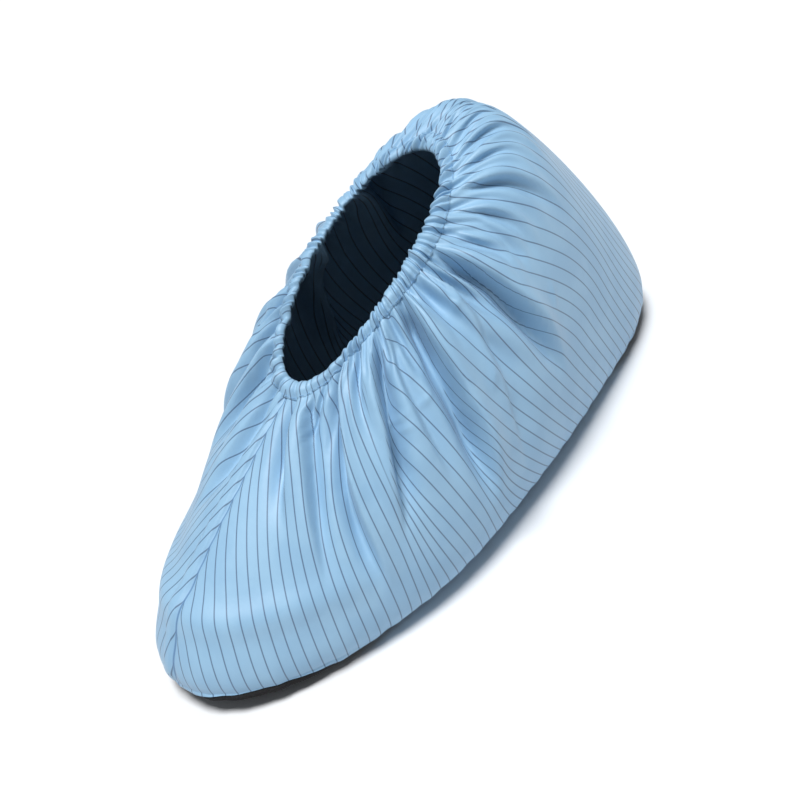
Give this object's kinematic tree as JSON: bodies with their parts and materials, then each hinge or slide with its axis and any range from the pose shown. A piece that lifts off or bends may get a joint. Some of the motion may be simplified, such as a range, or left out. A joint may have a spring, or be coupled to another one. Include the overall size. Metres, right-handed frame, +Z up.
{
  "type": "shoe cover",
  "caption": "Reusable anti-static shoe cover: light blue striped cloth gathered into an elastic collar, sewn to a black dotted grip sole, standing empty",
  "frame": {"origin": "on the floor under the middle of the cover's outer box", "axes": "+X towards the toe, +Y towards the wearer's left, +Z up"},
  "size_m": [0.2967, 0.13, 0.1502],
  "materials": {
    "cloth": "smooth woven polyester with thin dark conductive stripes",
    "casing": "the same cloth, finely puckered over elastic",
    "grip_sole": "black knitted sole with small raised grip dots"
  },
  "bodies": {
    "root": {"upper": "cloth", "elastic_collar": "casing", "sole": "grip_sole"}
  },
  "joints": []
}
